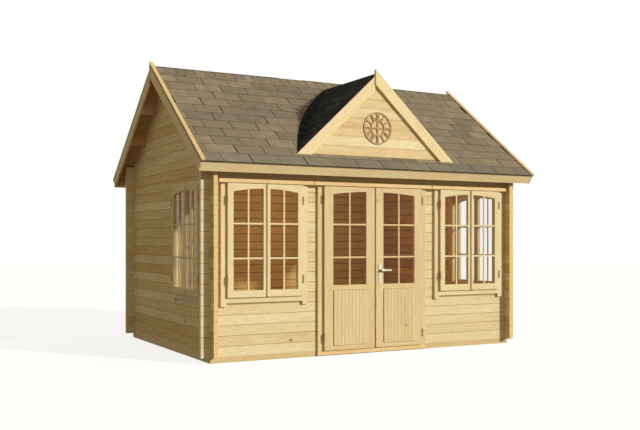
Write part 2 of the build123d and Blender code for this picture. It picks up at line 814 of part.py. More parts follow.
def hinge_halves(side, z):
    """The lower half with its pin on the frame, and the upper half on the leaf."""
    x = side * hinge_x
    low = z - hinge_length / 2
    high = z + hinge_length / 2
    seat = z - hinge_clearance
    lower = barrel(hinge_radius, x, hinge_y, low, seat) + flange(side, False, low, seat)
    lower += barrel(hinge_pin_radius, x, hinge_y, seat, high - hinge_radius)
    upper = barrel(hinge_radius, x, hinge_y, z, high) + flange(side, True, z, high)
    bore_top = high - hinge_radius + hinge_clearance
    upper -= barrel(hinge_pin_radius + hinge_clearance, x, hinge_y, z, bore_top)
    return lower, upper


frame_hinges = []
for side, name in ((-1, "left"), (1, "right")):
    leaf, pane = leaf_and_glass(side)
    leaf_hinges = []
    for z in door_hinge_heights:
        lower, upper = hinge_halves(side, z)
        frame_hinges.append(lower)
        leaf_hinges.append(upper)
    parts[f"{name}_door_leaf"] = leaf
    parts[f"{name}_door_glass"] = pane
    parts[f"{name}_leaf_hinges"] = group(leaf_hinges)
parts["door_frame_hinges"] = group(frame_hinges)

# Lever handle: two plates on the right leaf, one lever each side on a common spindle
handle_x = leaf_inner + handle_inset
plate_z = (handle_height - plate_drop - plate_height / 2, handle_height - plate_drop + plate_height / 2)
plate_x = (handle_x - plate_width / 2, handle_x + plate_width / 2)


def spindle(radius, y_from, y_to):
    """A round bar through the leaf at the handle."""
    bar = Cylinder(radius, y_to - y_from)
    return Pos(handle_x, (y_from + y_to) / 2, handle_height) * Rot(90, 0, 0) * bar


plate_front = leaf_front - plate_thickness
plate_back = leaf_back + plate_thickness
spindle_hole = spindle(neck_radius + spindle_clearance, plate_front, plate_back)
parts["right_door_leaf"] -= spindle_hole
parts["handle_plates"] = group([block(plate_x, (plate_front, leaf_front), plate_z) - spindle_hole,
                                block(plate_x, (leaf_back, plate_back), plate_z) - spindle_hole])
lever_x = (handle_x - lever_height / 2, handle_x + lever_length)
lever_z = (handle_height - lever_height / 2, handle_height + lever_height / 2)
grip_front = leaf_front - lever_standoff
grip_back = leaf_back + lever_standoff
lever = spindle(neck_radius, grip_front, grip_back)
for grip_y in ((grip_front - lever_thickness, grip_front), (grip_back, grip_back + lever_thickness)):
    grip = block(lever_x, grip_y, lever_z)
    lever += chamfer(grip.edges().filter_by(Axis.Z), lever_chamfer)
parts["door_lever"] = lever

os.makedirs("parts", exist_ok=True)
for name, shape in parts.items():
    export_step(shape, f"parts/{name}.step")
print(len(parts), "parts")
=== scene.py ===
import bmesh
import bpy
from math import cos, pi, radians, sin, tan
from mathutils import Matrix, Vector


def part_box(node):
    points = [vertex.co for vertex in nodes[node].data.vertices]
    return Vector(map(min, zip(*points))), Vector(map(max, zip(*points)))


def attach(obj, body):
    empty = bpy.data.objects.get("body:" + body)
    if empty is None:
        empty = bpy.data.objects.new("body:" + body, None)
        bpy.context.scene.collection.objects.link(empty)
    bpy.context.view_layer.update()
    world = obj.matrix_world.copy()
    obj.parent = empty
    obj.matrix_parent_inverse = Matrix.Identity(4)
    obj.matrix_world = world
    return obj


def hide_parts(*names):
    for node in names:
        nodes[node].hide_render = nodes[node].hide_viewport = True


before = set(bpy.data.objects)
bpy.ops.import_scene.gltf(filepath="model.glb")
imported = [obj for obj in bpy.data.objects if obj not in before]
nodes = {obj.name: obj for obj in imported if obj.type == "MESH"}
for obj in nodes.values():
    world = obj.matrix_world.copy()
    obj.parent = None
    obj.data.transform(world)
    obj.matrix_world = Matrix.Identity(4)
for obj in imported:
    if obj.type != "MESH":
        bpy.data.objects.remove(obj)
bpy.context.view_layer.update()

# Standing place and light: a level pale floor, a white surround, a low sun and a warm lamp in the room.
# The sun comes from the front right, so the left end lies in shade.
eye = Vector((-5.289, -10.037, 1.307))
eye_turn = radians(-28.136)


def linked(name, data):
    """A new object in the scene with the given data."""
    made = bpy.data.objects.new(name, data)
    bpy.context.collection.objects.link(made)
    return made


camera_data = bpy.data.cameras.new("camera")
camera_data.sensor_width = 36
camera_data.lens = 48.83
camera_data.shift_y = 0.0387
camera_data.clip_end = 200
camera = linked("camera", camera_data)
camera.location = eye
camera.rotation_euler = (radians(90), 0, eye_turn)
scene = bpy.context.scene
scene.camera = camera
scene.view_settings.view_transform = "Standard"

sun_direction = Vector((0.50, -0.72, 0.29))
sun_data = bpy.data.lights.new("key", "SUN")
sun_data.energy = 3.05
sun_data.angle = radians(3)
sun_data.color = (1.0, 0.97, 0.9)
sun = linked("key", sun_data)
sun.rotation_euler = sun_direction.to_track_quat("Z", "Y").to_euler()
room_lamp_data = bpy.data.lights.new("room_lamp", "POINT")
room_lamp_data.energy = 26
room_lamp_data.color = (1.0, 0.82, 0.5)
room_lamp_data.shadow_soft_size = 0.3
room_lamp = linked("room_lamp", room_lamp_data)
room_lamp.location = (0.0, -0.2, 1.75)
room_lamp.visible_camera = False
room_lamp.visible_transmission = False
room_lamp.visible_glossy = False


def new_material(name):
    """A new material and its tree, which is still empty."""
    material = bpy.data.materials.new(name)
    material.use_nodes = True
    tree = material.node_tree
    tree.nodes.clear()
    return material, tree


def feed(tree, socket, value):
    """Links another socket to this one, or sets it to a plain value."""
    if isinstance(value, bpy.types.NodeSocket):
        tree.links.new(value, socket)
    else:
        socket.default_value = value


def add(tree, kind, **values):
    """A node with the given settings, of which those that name or number an input feed that input."""
    node = tree.nodes.new(kind)
    for label, value in values.items():
        if hasattr(node, label):
            setattr(node, label, value)
        else:
            place = int(label[1:]) if label[1:].isdigit() else label.replace("_", " ")
            feed(tree, node.inputs[place], value)
    return node


def math(tree, operation, first, second=0.0, third=None):
    """A sum of numbers or sockets."""
    node = add(tree, "ShaderNodeMath", operation=operation)
    for socket, value in zip(node.inputs, (first, second, third)):
        if value is not None:
            feed(tree, socket, value)
    return node.outputs[0]


def camera_sees(tree):
    """One where a ray comes straight from the camera, or from it through glass."""
    rays = add(tree, "ShaderNodeLightPath").outputs
    return math(tree, "MAXIMUM", rays["Is Camera Ray"], rays["Is Transmission Ray"])


world = bpy.data.worlds.new("surround")
scene.world = world
world.use_nodes = True
sky = world.node_tree
sky.nodes.clear()
fill = add(sky, "ShaderNodeBackground", Color=(1.0, 0.93, 0.80, 1), Strength=0.43)
white = add(sky, "ShaderNodeBackground", Color=(1, 1, 1, 1), Strength=1.0)
sky_mix = add(sky, "ShaderNodeMixShader", i0=camera_sees(sky), i1=fill.outputs[0], i2=white.outputs[0])
add(sky, "ShaderNodeOutputWorld", Surface=sky_mix.outputs[0])

floor_half = 40
floor_glow_level = 0.8
floor_corners = [(-floor_half, -floor_half, 0), (floor_half, -floor_half, 0),
                 (floor_half, floor_half, 0), (-floor_half, floor_half, 0)]
floor_mesh = bpy.data.meshes.new("stage_floor")
floor_mesh.from_pydata(floor_corners, [], [(0, 1, 2, 3)])
floor = linked("stage_floor", floor_mesh)
floor_material, tree = new_material("pale floor")
floor_shade = add(tree, "ShaderNodeBsdfDiffuse", Color=(0.32, 0.31, 0.29, 1))
floor_glow = add(tree, "ShaderNodeEmission", Color=(1, 1, 1, 1),
                 Strength=math(tree, "MULTIPLY", camera_sees(tree), floor_glow_level))
floor_sum = add(tree, "ShaderNodeAddShader", i0=floor_shade.outputs[0], i1=floor_glow.outputs[0])
add(tree, "ShaderNodeOutputMaterial", Surface=floor_sum.outputs[0])
floor_mesh.materials.append(floor_material)

# Timber: all of the woodwork is planed, untreated pine, sawn into logs and boards of set widths.
# Each board has its own tone and figure; knots are few, small and dark, and the grain is fine.


def group_tree(name, inputs, outputs):
    """A group with named sockets, the values that it is given and the places for its results."""
    tree = bpy.data.node_groups.new(name, "ShaderNodeTree")
    kinds = {1: "NodeSocketFloat", 3: "NodeSocketVector", 4: "NodeSocketColor"}
    for socket, value in inputs.items():
        kind = kinds[len(value) if isinstance(value, tuple) else 1]
        made = tree.interface.new_socket(name=socket, in_out="INPUT", socket_type=kind)
        made.default_value = value
    for socket, kind in outputs.items():
        tree.interface.new_socket(name=socket, in_out="OUTPUT", socket_type=kind)
    return tree, tree.nodes.new("NodeGroupInput").outputs, tree.nodes.new("NodeGroupOutput").inputs


def blend_colour(tree, mode, amount, first, second):
    """A colour mix of sockets or fixed colours."""
    node = add(tree, "ShaderNodeMix", data_type="RGBA", blend_type=mode, i0=amount, i6=first, i7=second)
    return node.outputs[2]


def ramp(tree, value, stops):
    """A colour ramp of (place, colour) stops."""
    node = add(tree, "ShaderNodeValToRGB", i0=value)
    while len(node.color_ramp.elements) < len(stops):
        node.color_ramp.elements.new(0.5)
    for element, (place, colour) in zip(node.color_ramp.elements, stops):
        element.position = place
        element.color = colour
    return node.outputs[0]


def grey(value):
    """A grey as a colour."""
    return (value, value, value, 1)


def vector(tree, x, y, z):
    """A vector of three numbers or sockets."""
    return add(tree, "ShaderNodeCombineXYZ", X=x, Y=y, Z=z).outputs[0]


def noise(tree, place, detail=2.0):
    """Plain noise at a place that is already scaled."""
    return add(tree, "ShaderNodeTexNoise", Scale=1.0, Detail=detail, Vector=place).outputs["Fac"]


pine, given, finish = group_tree(
    "pine board",
    {"Grain": (0.0, 0.0, 0.0), "Board": 0.111, "Start": 0.06, "Seed": 0.0, "Tone Spread": 1.0, "Knots": 1.0,
     "Joint": 0.0, "End": 0.0, "Room": 0.0, "Light": (0.80, 0.64, 0.36, 1.0),
     "Dark": (0.55, 0.36, 0.14, 1.0)},
    {"Color": "NodeSocketColor", "Roughness": "NodeSocketFloat", "Height": "NodeSocketFloat"})
board_spacing = 37.0
along, across, through = add(pine, "ShaderNodeSeparateXYZ", i0=given["Grain"]).outputs
board_place = math(pine, "DIVIDE", math(pine, "SUBTRACT", across, given["Start"]), given["Board"])
board_number = math(pine, "ADD", math(pine, "FLOOR", board_place), given["Seed"])
chance = add(pine, "ShaderNodeTexWhiteNoise", noise_dimensions="1D", W=board_number).outputs["Value"]
board_shift = math(pine, "MULTIPLY", chance, board_spacing)


def on_board(along_scale, across_scale, through_scale):
    """A scaled place in the wood, which is moved on along the grain from board to board."""
    return vector(pine, math(pine, "MULTIPLY_ADD", along, along_scale, board_shift),
                  math(pine, "MULTIPLY", across, across_scale),
                  math(pine, "MULTIPLY", through, through_scale))


def board_noise(along_scale, across_scale, detail):
    """Noise drawn out along the grain, different on each board."""
    return noise(pine, on_board(along_scale, across_scale, across_scale), detail)


def wave(value, rate):
    """A wave from 0 to 1 that turns by `rate` for each unit of a value."""
    turning = math(pine, "SINE", math(pine, "MULTIPLY", value, rate))
    return math(pine, "MULTIPLY_ADD", turning, 0.5, 0.5)


fibre_strength = 0.25
figure = board_noise(along_scale=1.3, across_scale=17.0, detail=3.0)
fibre = board_noise(along_scale=9.0, across_scale=420.0, detail=4.0)
cloud = board_noise(along_scale=1.1, across_scale=5.0, detail=2.0)
rings = wave(figure, rate=60.0)
wood = blend_colour(pine, "MIX", ramp(pine, rings, [(0.25, grey(0)), (1.0, grey(0.34))]), given["Light"],
                    given["Dark"])
wood = blend_colour(pine, "MULTIPLY", fibre_strength, wood,
                    ramp(pine, fibre, [(0.3, grey(0.5)), (0.62, grey(1))]))
wood = blend_colour(pine, "MIX", ramp(pine, cloud, [(0.42, grey(0)), (0.75, grey(0.4))]), wood,
                    given["Dark"])
tone = math(pine, "MULTIPLY", math(pine, "SUBTRACT", chance, 0.5), given["Tone Spread"])
tint = add(pine, "ShaderNodeHueSaturation", Color=wood)
for socket, spread, middle in (("Value", 0.16, 1.0), ("Saturation", -0.22, 1.0), ("Hue", 0.012, 0.5)):
    pine.links.new(math(pine, "MULTIPLY_ADD", tone, spread, middle), tint.inputs[socket])

# Knots are small and far apart, each in a warm halo
knots_along = 2.2
knots_across = 4.4
knots_through = 2.0
core_strength = 0.85
halo_strength = 0.35
knot_colour = (0.16, 0.07, 0.025, 1)
knot_place = on_board(knots_along, knots_across, knots_through)
from_heart = add(pine, "ShaderNodeTexVoronoi", Scale=1.0, Vector=knot_place).outputs["Distance"]
core = ramp(pine, from_heart, [(0.0, grey(1)), (0.035, grey(1)), (0.055, grey(0))])
halo = ramp(pine, from_heart, [(0.0, grey(1)), (0.16, grey(0))])
halo = math(pine, "MULTIPLY", halo, math(pine, "MULTIPLY", given["Knots"], halo_strength))
core = math(pine, "MULTIPLY", core, math(pine, "MULTIPLY", given["Knots"], core_strength))
wood = blend_colour(pine, "MIX", halo, tint.outputs[0], given["Dark"])
wood = blend_colour(pine, "MIX", core, wood, knot_colour)

# End grain shows curved growth rings round a heart that lies off the board's middle
end_ring_strength = 0.4
fraction = math(pine, "FRACT", board_place)
heart_across = math(pine, "MULTIPLY", math(pine, "SUBTRACT", fraction, chance), given["Board"])
heart_distance = math(pine, "SQRT", math(pine, "ADD", math(pine, "POWER", heart_across, 2.0),
                                         math(pine, "POWER", through, 2.0)))
end_rings = math(pine, "MULTIPLY", wave(heart_distance, rate=1400.0), end_ring_strength)
wood = blend_colour(pine, "MIX", given["End"], wood,
                    blend_colour(pine, "MIX", end_rings, given["Light"], given["Dark"]))

# Boards meet in a fine dark line, which is wider and darker on the room side
room_widening = 2.0
joint_darkness = 0.6
room_darkening = 0.3
joint_colour = (0.36, 0.2, 0.09, 1)
to_edge = math(pine, "MINIMUM", fraction, math(pine, "SUBTRACT", 1.0, fraction))
edge_distance = math(pine, "MULTIPLY", to_edge, given["Board"])
joint_width = math(pine, "MULTIPLY_ADD", given["Room"], room_widening, 1.0)
joint = math(pine, "LESS_THAN", edge_distance, math(pine, "MULTIPLY", given["Joint"], joint_width))
joint_depth = math(pine, "MULTIPLY_ADD", given["Room"], room_darkening, joint_darkness)
wood = blend_colour(pine, "MULTIPLY", math(pine, "MULTIPLY", joint, joint_depth), wood, joint_colour)

# On the room side the wood is painted a deeper, warmer colour: painted shade for the dim, warm light in the
# room
room_shade_tint = (0.92, 0.73, 0.36, 1)
wood = blend_colour(pine, "MULTIPLY", given["Room"], wood, room_shade_tint)
pine.links.new(wood, finish["Color"])

# Fibres dull the sheen and stand up a little, as the rings do, and the joints lie lower
fibre_dulling = 0.25
planed_roughness = 0.5
fibre_relief = 0.6
ring_relief = 0.4
joint_relief = 2.0
pine.links.new(math(pine, "MULTIPLY_ADD", fibre, fibre_dulling, planed_roughness), finish["Roughness"])
relief = math(pine, "ADD", math(pine, "MULTIPLY", fibre, fibre_relief),
              math(pine, "MULTIPLY", rings, ring_relief))
pine.links.new(math(pine, "SUBTRACT", relief, math(pine, "MULTIPLY", joint, joint_relief)), finish["Height"])


def axis_sockets(tree, which="Object"):
    """X, Y and Z of the place on the piece, or of the way its surface faces, as sockets."""
    whole = add(tree, "ShaderNodeTexCoord").outputs[which]
    return dict(zip("xyz", add(tree, "ShaderNodeSeparateXYZ", i0=whole).outputs))


def level_grain(order):
    """Grain along the first of three axes; boards are counted across the second."""
    def grain(tree):
        axes = axis_sockets(tree)
        return [axes[name] for name in order]
    return grain


def pitched_grain(level, centre, pitch, order):
    """The same on two slopes that fall away from a centre: `fall` runs down and `rise` off the slope."""
    second_slope = 7.0

    def grain(tree):
        axes = axis_sockets(tree)
        offset = math(tree, "SUBTRACT", axes[level], centre)
        away = math(tree, "ABSOLUTE", offset)
        side_shift = math(tree, "MULTIPLY", math(tree, "GREATER_THAN", offset, 0.0), second_slope)
        axes["fall"] = math(tree, "SUBTRACT", math(tree, "MULTIPLY_ADD", away, cos(pitch), side_shift),
                            math(tree, "MULTIPLY", axes["z"], sin(pitch)))
        axes["rise"] = math(tree, "MULTIPLY_ADD", away, sin(pitch),
                            math(tree, "MULTIPLY", axes["z"], cos(pitch)))
        return [axes[name] for name in order]
    return grain


def surface_of(tree, colour, height, strength, distance, **values):
    """A surface with its colour, its bump and the given settings, joined to the material's end."""
    bump = add(tree, "ShaderNodeBump", Strength=strength, Distance=distance, Height=height)
    surface = add(tree, "ShaderNodeBsdfPrincipled", Base_Color=colour, Normal=bump.outputs[0], **values)
    add(tree, "ShaderNodeOutputMaterial", Surface=surface.outputs[0])


def near_middle(tree, socket, reach):
    """One where a coordinate lies less than `reach` from zero."""
    return math(tree, "LESS_THAN", math(tree, "ABSOLUTE", socket), reach)


whole_board = 20.0
room_half_width = 1.958
room_half_depth = 1.393
square_on = 0.9


def pine_material(name, grain, light, dark, board=whole_board, start=-whole_board / 2, seed=0.0, spread=1.0,
                  knots=1.0, joint=0.0, end_axis=None):
    """Planed pine: a dull sheen and a shallow bump from the fibres over the figure of the boards."""
    material, tree = new_material(name)
    axes = axis_sockets(tree)
    in_room = math(tree, "MULTIPLY", near_middle(tree, axes["x"], room_half_width),
                   near_middle(tree, axes["y"], room_half_depth))
    timber = add(tree, "ShaderNodeGroup", node_tree=pine, Grain=vector(tree, *grain(tree)), Board=board,
                 Start=start, Seed=seed, Tone_Spread=spread, Knots=knots, Joint=joint, Room=in_room,
                 Light=light, Dark=dark)
    if end_axis:
        turned = math(tree, "ABSOLUTE", axis_sockets(tree, "Normal")[end_axis])
        tree.links.new(math(tree, "GREATER_THAN", turned, square_on), timber.inputs["End"])
    surface_of(tree, timber.outputs["Color"], timber.outputs["Height"], strength=0.35, distance=0.0012,
               Specular_IOR_Level=0.25, Roughness=timber.outputs["Roughness"])
    return material


def dress(material, *names):
    """Gives the named pieces their finish."""
    for name in names:
        data = nodes[name].data
        data.materials.clear()
        data.materials.append(material)


# Base: sawn bearers on the ground and joists between them, with tongued floor boards laid across.
# It is the same pine as the walls, a little darker, and the floor darker still.
base_light = (0.75, 0.61, 0.34, 1)
base_dark = (0.57, 0.40, 0.18, 1)
joist_bay = 0.43
bearer_wood = pine_material("bearers", level_grain("xzy"), base_light, base_dark, seed=4, end_axis="x")
dress(bearer_wood, "perimeter_bearers")
joist_wood = pine_material("joists", level_grain("yxz"), base_light, base_dark, joist_bay, -joist_bay / 2,
                           seed=9)
dress(joist_wood, "floor_joists")
floor_board = 0.096
floor_light = (0.70, 0.50, 0.25, 1)
floor_dark = (0.45, 0.27, 0.10, 1)
floor_wood = pine_material("floor boards", level_grain("xyz"), floor_light, floor_dark, floor_board, seed=21,
                           joint=0.0015)
dress(floor_wood, "floor")

# Log walls: planed logs with a tongue and groove, crossed and notched at the corners.
# They stand one on another with no nails, and the ends show at each corner as two upright rows.
log_height = 0.111
wall_foot = 0.06
log_joint = 0.0018
log_light = (0.78, 0.65, 0.375, 1)
log_dark = (0.60, 0.42, 0.19, 1)
# The side walls and gables are a deeper, more saturated pine than the front and back: painted shade, matched
# to the left end, which lies out of the sun.
shaded_side_light = (0.80, 0.60, 0.26, 1)
shaded_side_dark = (0.47, 0.29, 0.10, 1)
long_logs = pine_material("front and back logs", level_grain("xzy"), log_light, log_dark, log_height,
                          wall_foot, seed=3, spread=0.6, joint=log_joint, end_axis="x")
dress(long_logs, "front_wall_left", "front_wall_right", "front_wall_over_door", "back_wall")
shaded_side_logs = pine_material("side logs", level_grain("yzx"), shaded_side_light, shaded_side_dark, log_height,
                          wall_foot + log_height / 2, seed=11, spread=1.3, joint=log_joint, end_axis="y")
dress(shaded_side_logs, "left_wall", "right_wall", "left_gable", "right_gable")

# Purlins: five planed beams that run through both gables and carry the roof.
# Their wood is painted redder and darker than the walls: painted shade, as they are seen from below under
# the roof.
shaded_roof_light = (0.66, 0.40, 0.17, 1)
shaded_roof_dark = (0.42, 0.22, 0.08, 1)
beam_bay = 0.4
beam_wood = pine_material("purlins", level_grain("xyz"), shaded_roof_light, shaded_roof_dark, beam_bay, -beam_bay / 2,
                          seed=31)
dress(beam_wood, "ridge_purlin", "front_purlins", "back_purlins")

# Roof boards: tongued boards nailed up the slope, seen from below at the eaves, the gables and inside.
# They are of the same wood as the purlins, with the same painted shade.
roof_pitch = radians(36.2)
roof_board = 0.092
roof_wood = pine_material("roof boards", pitched_grain("y", 0, roof_pitch, ("fall", "x", "rise")),
                          shaded_roof_light, shaded_roof_dark, roof_board, seed=40, spread=1.3, joint=0.0018)
dress(roof_wood, "front_roof_boards", "back_roof_boards")

# Fascias and barge boards: planed boards nailed over the ends of the roof boards and purlins.
# They have few knots, and the fascias are painted the palest wood on the cabin: painted light, as the low
# sun reaches their faces only at a slant.
trim_light = (0.84, 0.66, 0.35, 1)
trim_dark = (0.62, 0.40, 0.16, 1)
painted_light_pale = (0.95, 0.74, 0.40, 1)
painted_light_deep = (0.74, 0.50, 0.21, 1)
few_knots = 0.7
fascia_wood = pine_material("fascias", pitched_grain("y", 0, roof_pitch, ("x", "rise", "fall")),
                            painted_light_pale, painted_light_deep, seed=50, knots=few_knots)
dress(fascia_wood, "front_fascia", "back_fascia")
barge_wood = pine_material("barge boards", pitched_grain("y", 0, roof_pitch, ("fall", "rise", "x")),
                           trim_light, trim_dark, seed=52, knots=few_knots)
dress(barge_wood, "left_barge_boards", "right_barge_boards", "left_edge_strips", "right_edge_strips")

# Shingles: bitumen shingles with a face of crushed slate, nailed in twelve staggered courses a slope.
# Each tab lies on the course below, the slots between tabs are narrow and a little uneven, and the
# first course at the eave is greyer than the rest.


def geometry_tree(name, inputs):
    """A tree with named inputs, the values that it is given and a function that adds a step to it."""
    tree = bpy.data.node_groups.new(name, "GeometryNodeTree")
    tree.interface.new_socket(name="Geometry", in_out="OUTPUT", socket_type="NodeSocketGeometry")
    kinds = {int: "NodeSocketInt", float: "NodeSocketFloat", tuple: "NodeSocketVector"}
    for label, value in inputs.items():
        kind = "NodeSocketMaterial" if label == "Material" else kinds[type(value)]
        socket = tree.interface.new_socket(name=label, in_out="INPUT", socket_type=kind)
        if label != "Material":
            socket.default_value = value
    given = tree.nodes.new("NodeGroupInput").outputs

    def step(kind, output=0, **values):
        return add(tree, kind, **values).outputs[output]

    return tree, given, step


def sum_of(step, operation, *values):
    """A sum of numbers or sockets, as a step."""
    return step("ShaderNodeMath", operation=operation,
                **{f"i{slot}": value for slot, value in enumerate(values)})


def half_of(step, value):
    """Half of a value, as a step."""
    return sum_of(step, "MULTIPLY", value, 0.5)


def point(step, **parts):
    """A point from its X, Y and Z, of which those left out are zero."""
    return step("ShaderNodeCombineXYZ", **parts)


def random_between(step, low, high, **links):
    """A random number between two limits, drawn for each point or copy."""
    return step("FunctionNodeRandomValue", 1, data_type="FLOAT", i2=low, i3=high, **links)


def toned(step, copies, tone):
    """Gives each copy a tone of its own, which its finish reads."""
    return step("GeometryNodeStoreNamedAttribute", data_type="FLOAT", domain="INSTANCE", Geometry=copies,
                Name="tone", Value=tone)


def end_tree(tree, given, step, copies):
    """Makes the copies one mesh in their finish, which is the tree's result."""
    whole = step("GeometryNodeRealizeInstances", Geometry=copies)
    whole = step("GeometryNodeSetMaterial", Geometry=whole, Material=given["Material"])
    tree.links.new(whole, tree.nodes.new("NodeGroupOutput").inputs[0])


def grown_mesh(name, tree, values):
    """The plain mesh that a tree makes with these inputs."""
    carrier = linked(name, bpy.data.meshes.new(name))
    modifier = carrier.modifiers.new(name, "NODES")
    modifier.node_group = tree
    for item in tree.interface.items_tree:
        if item.in_out == "INPUT":
            modifier[item.identifier] = values[item.name]
    evaluated = carrier.evaluated_get(bpy.context.evaluated_depsgraph_get())
    mesh = bpy.data.meshes.new_from_object(evaluated)
    bpy.data.objects.remove(carrier)
    return mesh


def placed(name, mesh, body="root"):
    """A finished piece from its mesh, riding on its body."""
    mesh.name = name
    piece = linked(name, mesh)
    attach(piece, body)
    return piece


courses, given, step = geometry_tree("shingle courses", {
    "Length": 4.3, "Tabs": 15, "Courses": 12, "Tab": 0.32, "Exposure": 0.17, "Slot": 0.008,
    "Thickness": 0.004, "Sink": 0.035, "Seed": 1, "Material": None})
butt_draw = 7
tone_draw = 3
palest = 0.98
deepest = 0.02
course_drift = 0.05
tab_drift = 0.004
butt_drop = 0.004
butt_rise = 0.002
tab_lean = 0.006
lap = 1.15
edge_allowance = 0.4
grid_width = sum_of(step, "MULTIPLY", sum_of(step, "SUBTRACT", given["Tabs"], 1), given["Tab"])
grid_depth = sum_of(step, "MULTIPLY", sum_of(step, "SUBTRACT", given["Courses"], 1), given["Exposure"])
grid = step("GeometryNodeMeshGrid", Size_X=grid_width, Size_Y=grid_depth, Vertices_X=given["Tabs"],
            Vertices_Y=given["Courses"])
spot = step("GeometryNodeInputPosition")
spot_x = step("ShaderNodeSeparateXYZ", i0=spot)
spot_y = step("ShaderNodeSeparateXYZ", 1, i0=spot)
half_grid = half_of(step, grid_depth)
half_tab = half_of(step, given["Tab"])
half_exposure = half_of(step, given["Exposure"])
course = sum_of(step, "ROUND", sum_of(step, "DIVIDE", sum_of(step, "ADD", spot_y, half_grid),
                                      given["Exposure"]))
stagger = sum_of(step, "MULTIPLY", sum_of(step, "MODULO", course, 2), half_tab)
course_slide = random_between(step, -course_drift, course_drift, ID=course, Seed=given["Seed"])
tab_slide = random_between(step, -tab_drift, tab_drift, Seed=given["Seed"])
butt_slide = random_between(step, -butt_drop, butt_rise, Seed=sum_of(step, "ADD", given["Seed"], butt_draw))
slide_x = sum_of(step, "ADD", sum_of(step, "ADD", stagger, course_slide), tab_slide)
slide_y = sum_of(step, "ADD", butt_slide, half_grid)
points = step("GeometryNodeSetPosition", Geometry=grid, Offset=point(step, X=slide_x, Y=slide_y))
reach = half_of(step, given["Length"])
furthest = sum_of(step, "ADD", reach, sum_of(step, "MULTIPLY", given["Tab"], edge_allowance))
beyond = step("FunctionNodeCompare", data_type="FLOAT", operation="GREATER_THAN",
              i0=sum_of(step, "ABSOLUTE", spot_x), i1=furthest)
points = step("GeometryNodeDeleteGeometry", Geometry=points, Selection=beyond)
tab_depth = sum_of(step, "MULTIPLY", given["Exposure"], lap)
tab_size = point(step, X=sum_of(step, "SUBTRACT", given["Tab"], given["Slot"]), Y=tab_depth,
                 Z=given["Thickness"])
tab_shape = step("GeometryNodeTransform", Geometry=step("GeometryNodeMeshCube", Size=tab_size),
                 Translation=point(step, Y=half_of(step, tab_depth),
                                   Z=half_of(step, given["Thickness"])))
lean = random_between(step, 0.0, tab_lean, Seed=given["Seed"])
turn = point(step, X=sum_of(step, "SUBTRACT", lean, given["Sink"]))
tabs = step("GeometryNodeInstanceOnPoints", Points=points, Instance=tab_shape, Rotation=turn)
tab_chance = random_between(step, deepest, palest, Seed=sum_of(step, "ADD", given["Seed"], tone_draw))
first_course = sum_of(step, "LESS_THAN", spot_y, half_exposure)
tabs = toned(step, tabs, sum_of(step, "SUBTRACT", tab_chance, first_course))
tabs = step("GeometryNodeRealizeInstances", Geometry=tabs)
trimmed_x = step("ShaderNodeClamp", Value=spot_x, Min=sum_of(step, "MULTIPLY", reach, -1), Max=reach)
tabs = step("GeometryNodeSetPosition", Geometry=tabs,
            Offset=point(step, X=sum_of(step, "SUBTRACT", trimmed_x, spot_x)))
end_tree(courses, given, step, tabs)


def pattern(tree, scale, detail):
    """Noise over the piece, fine where the scale is high."""
    place = add(tree, "ShaderNodeVectorMath", operation="SCALE", Scale=scale,
                i0=add(tree, "ShaderNodeTexCoord").outputs["Object"])
    return noise(tree, place.outputs[0], detail)


def slate_material(name, pale, deep, patch, starter, granule=0.5, highlight_gap=0.0, highlight_start=0.0):
    """Crushed slate: a speckled dull face, weathered in soft patches, with a tone for each tab."""
    starter_strength = 0.45
    material, tree = new_material(name)
    speckle = pattern(tree, scale=420, detail=2.0)
    patches = pattern(tree, scale=9.0, detail=4.0)
    tab_value = add(tree, "ShaderNodeAttribute", attribute_name="tone").outputs["Fac"]
    tone = math(tree, "FRACT", math(tree, "ADD", tab_value, 1.0))
    starts = math(tree, "MULTIPLY", math(tree, "LESS_THAN", tab_value, 0.0), starter_strength)
    colour = blend_colour(tree, "MIX", ramp(tree, tone, [(0.0, grey(0.0)), (1.0, grey(1.0))]), deep, pale)
    colour = blend_colour(tree, "MIX", ramp(tree, patches, [(0.42, grey(0)), (0.6, grey(0.85))]), colour,
                          patch)
    colour = blend_colour(tree, "MIX", starts, colour, starter)
    colour = blend_colour(tree, "MULTIPLY", granule, colour,
                          ramp(tree, speckle, [(0.35, grey(0.35)), (0.7, grey(1.3))]))
    # Paler bands at each course's butt: painted highlights.
    if highlight_gap:
        drop = math(tree, "SUBTRACT", axis_sockets(tree)["z"], highlight_start)
        course_highlight = ramp(tree, math(tree, "FRACT", math(tree, "DIVIDE", drop, highlight_gap)), [
            (0.0, grey(0.0)), (0.1, grey(0.0)), (0.14, grey(0.5)), (0.45, grey(0.1)), (1.0, grey(0.0))])
        colour = blend_colour(tree, "MIX", course_highlight, colour, pale)
    surface_of(tree, colour, speckle, strength=0.5, distance=0.0015, Roughness=0.9, Specular_IOR_Level=0.2)
    return material


roof_slate = slate_material("weathered slate face", pale=(0.36, 0.29, 0.18, 1), deep=(0.20, 0.163, 0.105, 1),
                            patch=(0.265, 0.217, 0.153, 1), starter=(0.21, 0.215, 0.163, 1))
# The shingle under the tabs is coloured near-black where it shows in the slots: painted shade in the slots.
slot_shade_patch = (0.06, 0.055, 0.04, 1)
slot_shade_slate = slate_material("slate in the slots", pale=(0.07, 0.06, 0.04, 1), deep=(0.05, 0.042, 0.028, 1),
                             patch=slot_shade_patch, starter=slot_shade_patch)
course_count = 12
tab_width = 0.325
tab_slot = 0.008
tab_thickness = 0.004
spare_tabs = 3
edge_strip_width = 0.044
butt_thickness = 0.012
butt_step = 0.006
eave_lip = 0.010
shingle_low, shingle_high = [Vector(corner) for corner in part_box("front_shingles")]
eave_y = shingle_low.y
eave_z = shingle_low.z + butt_thickness * cos(roof_pitch)
exposure = (-eave_y / cos(roof_pitch) - eave_lip) / course_count
roof_reach = shingle_high.x - edge_strip_width
roof_values = {
    "Length": 2 * roof_reach, "Tabs": round(2 * roof_reach / tab_width) + spare_tabs,
    "Courses": course_count, "Tab": tab_width, "Exposure": exposure, "Slot": tab_slot,
    "Thickness": tab_thickness, "Sink": butt_step / exposure, "Material": roof_slate}
